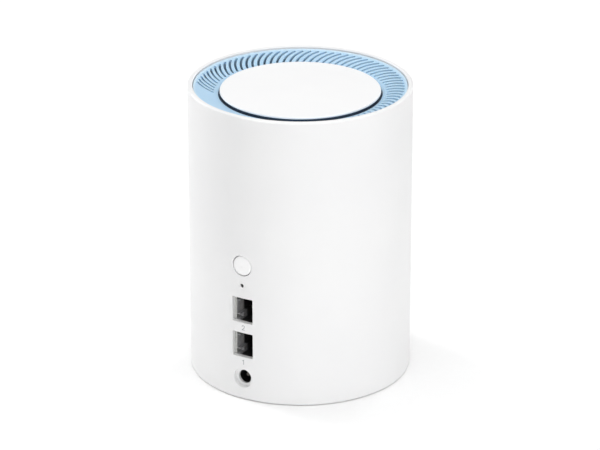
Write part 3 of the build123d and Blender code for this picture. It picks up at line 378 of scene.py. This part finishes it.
number_height = 0.0021
number_width = 0.0012
number_aside = 0.0005
stroke_width = 0.00030
stroke_edge = (0.45 * stroke_width, 0.55 * stroke_width)
under_lan = 0.0351  # height of the middle of each number, below its socket
under_wan = 0.0183
one = [(-0.42, 0.27), (0.06, 0.5), (0.06, -0.5)]  # corners, in shares of the number's width and height
two_arch = [(-0.5, 0.25), (-0.35, 0.44), (0.0, 0.5), (0.38, 0.42), (0.5, 0.22), (0.40, 0.0)]
two_foot = [(-0.5, -0.5), (0.5, -0.5)]
numbers = {under_lan: two_arch + two_foot, under_wan: one}
nearest = None
for middle, corners in numbers.items():
    points = [
        Vector((number_aside + x * number_width, cad_box[0].y, middle + z * number_height))
        for x, z in corners
    ]
    for start, end in zip(points, points[1:]):
        run = end - start
        from_start = step(shell_abs, "VectorMath", {"operation": "SUBTRACT"}, _0=place, _1=start).outputs[0]
        along = step(
            shell_abs,
            "VectorMath",
            {"operation": "DOT_PRODUCT"},
            _0=from_start,
            _1=run / run.length_squared,
        ).outputs["Value"]
        held = step(shell_abs, "Clamp", Value=along).outputs[0]
        foot = step(shell_abs, "VectorMath", {"operation": "SCALE"}, _0=run, Scale=held).outputs[0]
        away = step(
            shell_abs, "VectorMath", {"operation": "DISTANCE"}, _0=from_start, _1=foot
        ).outputs["Value"]
        if nearest is None:
            nearest = away
        else:
            nearest = step(shell_abs, "Math", {"operation": "MINIMUM"}, _0=nearest, _1=away).outputs[0]
ink = shift(shell_abs, nearest, 1.0, 0.0, *stroke_edge)
feed(
    shell_abs,
    shader,
    Base_Color=blend_colours(shell_abs, ink, white, rgb(0.66, 0.67, 0.68)),
    Roughness=shift(shell_abs, smear, 0.33, 0.40),
    Normal=relief(shell_abs, spark, 1.5e-6),
)
wear("outer_shell", shell_abs)

# Pairing button: a small round cap moulded in a glossier white ABS. It slides in the shell and presses
# on the push switch behind it.
wear("pair_button", moulded(
    "gloss_white_abs", pale=rgb(0.99, 0.99, 0.99), deep=rgb(0.985, 0.985, 0.985),
    gloss=(0.42, 0.50), grain=5200.0, grain_depth=1e-6,
))

# Vent ring: a dished and slotted ring moulded in pale blue ABS with a fine satin grain. A painted highlight
# makes its outer margin paler. It sits inside the top of the shell.
blue_abs, shader, place = new_finish(
    "pale_blue_abs", Subsurface_Weight=0.5, Subsurface_Radius=(0.8, 0.9, 1.0), Subsurface_Scale=0.0012
)
highlight_radii = (0.0463, 0.0471)  # radii over which the painted highlight comes in
level = step(blue_abs, "VectorMath", {"operation": "MULTIPLY"}, _0=place, _1=(1.0, 1.0, 0.0)).outputs[0]
radius = step(blue_abs, "VectorMath", {"operation": "LENGTH"}, _0=level).outputs["Value"]
painted_margin_highlight = shift(blue_abs, radius, 0.0, 1.0, *highlight_radii)
flow = noise(blue_abs, place, 60.0, 3.0)
dish_blue = blend_colours(
    blue_abs, shift(blue_abs, flow, 0.0, 1.0), rgb(0.715, 0.84, 0.94), rgb(0.705, 0.835, 0.935)
)
# painted highlight: the paler blue at the outer margin stands in for light caught on the lip
feed(
    blue_abs,
    shader,
    Base_Color=blend_colours(blue_abs, painted_margin_highlight, dish_blue, rgb(0.78, 0.88, 0.96)),
    Roughness=shift(blue_abs, noise(blue_abs, place, 420.0, 4.0), 0.36, 0.46),
    Normal=relief(blue_abs, noise(blue_abs, place, 4800.0), 2e-6),
)
wear("vent_ring", blue_abs)

# Disc carrier: an ABS ring under the vent ring's lip, which the top disc hooks into. Its dark slate blue
# is painted shade, so that the gap round the disc reads dark.
wear("disc_carrier", moulded(
    "slate_painted_shade", pale=rgb(0.25, 0.30, 0.37), deep=rgb(0.22, 0.27, 0.34),
    gloss=(0.60, 0.72), grain=3600.0, grain_depth=6e-6,
))

# Top disc: a thin disc moulded in white ABS and polished on its crown. It lies on the disc carrier and
# hooks into it.
wear("top_disc", moulded(
    "polished_white_abs", pale=rgb(0.975, 0.975, 0.975), deep=rgb(0.968, 0.968, 0.970),
    gloss=(0.30, 0.33), grain=2600.0, grain_depth=1e-7,
))

# Floor, light and camera: a plain sheet of white paper, soft boxes round the unit and a long lens. The
# world adds a weak even fill, and is pale where the camera sees past the paper.
floor_half_side = 1.3
floor_shape = bmesh.new()
bmesh.ops.create_grid(floor_shape, x_segments=1, y_segments=1, size=floor_half_side)
floor_mesh = bpy.data.meshes.new("floor")
floor_shape.to_mesh(floor_mesh)
floor_shape.free()
floor = bpy.data.objects.new("floor", floor_mesh)
bpy.context.scene.collection.objects.link(floor)
paper, shader, place = new_finish("white_paper", Specular_IOR_Level=0.1)
fibre = noise(paper, place, 300.0, 3.0)
bleached = (0.985, 0.985, 0.985, 1.0)
fibrous = (0.975, 0.975, 0.975, 1.0)
feed(
    paper,
    shader,
    Base_Color=blend_colours(paper, shift(paper, fibre, 0.0, 1.0), bleached, fibrous),
    Roughness=shift(paper, fibre, 0.85, 0.95),
)
floor_mesh.materials.append(paper)

view_azimuth = math.radians(30.9)
aside = Vector((math.cos(view_azimuth), math.sin(view_azimuth), 0.0))
towards = Vector((-math.sin(view_azimuth), math.cos(view_azimuth), 0.0))
aim_height = 0.06625
aim_aside = -0.00016
target = Vector((0.0, 0.0, aim_height)) + aim_aside * aside


def soft_box(name, azimuth, height, distance, width, tall, power):
    """A rectangular soft box aimed at the unit; azimuth is in degrees to the right of the camera."""
    turn = math.radians(azimuth)
    place = target + distance * (math.sin(turn) * aside - math.cos(turn) * towards) + Vector((0, 0, height))
    data = bpy.data.lights.new(name, "AREA")
    data.shape = "RECTANGLE"
    data.size, data.size_y, data.energy = width, tall, power
    light = bpy.data.objects.new(name, data)
    light.location = place
    light.rotation_mode = "QUATERNION"
    light.rotation_quaternion = (target - place).to_track_quat("-Z", "Y")
    bpy.context.scene.collection.objects.link(light)


side_boxes = {  # degrees to the right of the camera, and watts
    "front_box": (0.0, 8.0),
    "right_box": (58.0, 5.3),
    "left_rim_box": (-125.0, 11.4),
    "right_rim_box": (150.0, 4.3),
}
for name, (azimuth, power) in side_boxes.items():
    soft_box(name, azimuth, height=0.45, distance=1.5, width=0.45, tall=1.4, power=power)
soft_box("top_box", 0.0, height=2.0, distance=0.01, width=1.8, tall=1.8, power=28.5)

world = bpy.data.worlds.new("studio")
world.use_nodes = True
room, fill = world.node_tree, world.node_tree.nodes["Background"]
fill_strength = 0.25
fill.inputs["Color"].default_value = (1.0, 1.0, 1.0, 1.0)
fill.inputs["Strength"].default_value = fill_strength
backdrop = room.nodes.new("ShaderNodeBackground")
backdrop.inputs["Color"].default_value = (0.94, 0.94, 0.94, 1.0)
seen = room.nodes.new("ShaderNodeLightPath").outputs["Is Camera Ray"]
either = room.nodes.new("ShaderNodeMixShader")
for source, socket in (
    (seen, either.inputs[0]),
    (fill.outputs[0], either.inputs[1]),
    (backdrop.outputs[0], either.inputs[2]),
    (either.outputs[0], room.nodes["World Output"].inputs["Surface"]),
):
    room.links.new(source, socket)
bpy.context.scene.world = world
bpy.context.scene.view_settings.view_transform = "Standard"

lens_length = 190.8  # millimetres, on a sensor 36 mm wide
camera_back = 1.3206
camera_up = 0.5552
lens = bpy.data.cameras.new("camera")
lens.lens, lens.sensor_width = lens_length, 36.0
lens.clip_start, lens.clip_end = 0.1, 20.0
camera = bpy.data.objects.new("camera", lens)
camera.location = target - camera_back * towards + Vector((0, 0, camera_up))
camera.rotation_mode = "QUATERNION"
camera.rotation_quaternion = (target - camera.location).to_track_quat("-Z", "Y")
bpy.context.scene.collection.objects.link(camera)
bpy.context.scene.camera = camera
